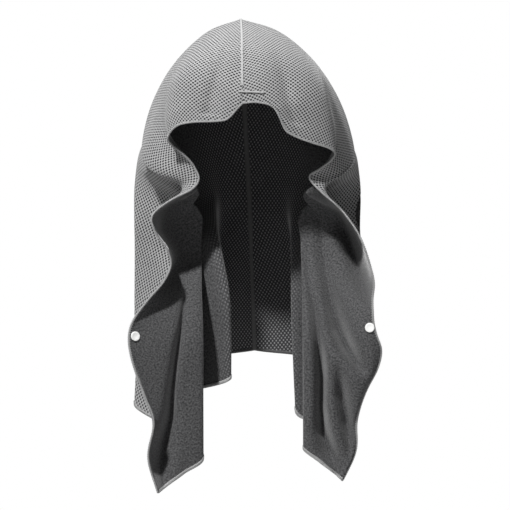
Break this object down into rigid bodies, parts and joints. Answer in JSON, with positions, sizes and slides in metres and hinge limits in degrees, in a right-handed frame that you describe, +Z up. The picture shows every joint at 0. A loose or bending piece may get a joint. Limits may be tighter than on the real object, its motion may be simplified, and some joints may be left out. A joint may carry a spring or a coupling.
{
  "type": "hooded cooling towel",
  "caption": "Hooded cooling towel of two-faced knit, sewn along crown and back, with loose front wings that close with a press stud.",
  "frame": {"origin": "top of the wearer's head, on the hood's centre plane, where the crown rests", "axes": "+Z up along the drop of the hood, -Y to the wearer's front, +X to the viewer's right"},
  "size_m": [0.3268, 0.2475, 0.6165],
  "materials": {
    "outer_knit": "matte waffle knit",
    "inner_knit": "matte brushed knit",
    "edge_thread": "matte polyester overlock thread",
    "seam_tape": "matte ribbed tape",
    "stud_plastic": "glossy moulded acetal"
  },
  "bodies": {
    "hood": {"hood_panel_left": "outer_knit", "hood_panel_right": "outer_knit", "brim_roll_left": "edge_thread", "brim_roll_right": "edge_thread", "back_hem_left": "edge_thread", "back_hem_right": "edge_thread", "crown_seam_ridge": "edge_thread", "back_seam_tape": "seam_tape", "brim_tack": "edge_thread"},
    "left_wing": {"front_wing_left": "inner_knit", "wing_roll_left": "edge_thread", "wing_hem_left": "edge_thread", "stud_cap_left": "stud_plastic", "stud_socket_left": "stud_plastic"},
    "right_wing": {"front_wing_right": "inner_knit", "wing_roll_right": "edge_thread", "wing_hem_right": "edge_thread", "stud_cap_right": "stud_plastic", "stud_ball_right": "stud_plastic"}
  },
  "joints": [
    {"name": "left_wing_wrap", "type": "hinge", "parent": "hood", "child": "left_wing", "pos_m": [-0.0605, -0.058, -0.396], "axis": [0, 0, 1], "range_deg": [0, 98]},
    {"name": "right_wing_wrap", "type": "hinge", "parent": "hood", "child": "right_wing", "pos_m": [0.0695, -0.06, -0.4], "axis": [0, 0, -1], "range_deg": [0, 102]}
  ]
}
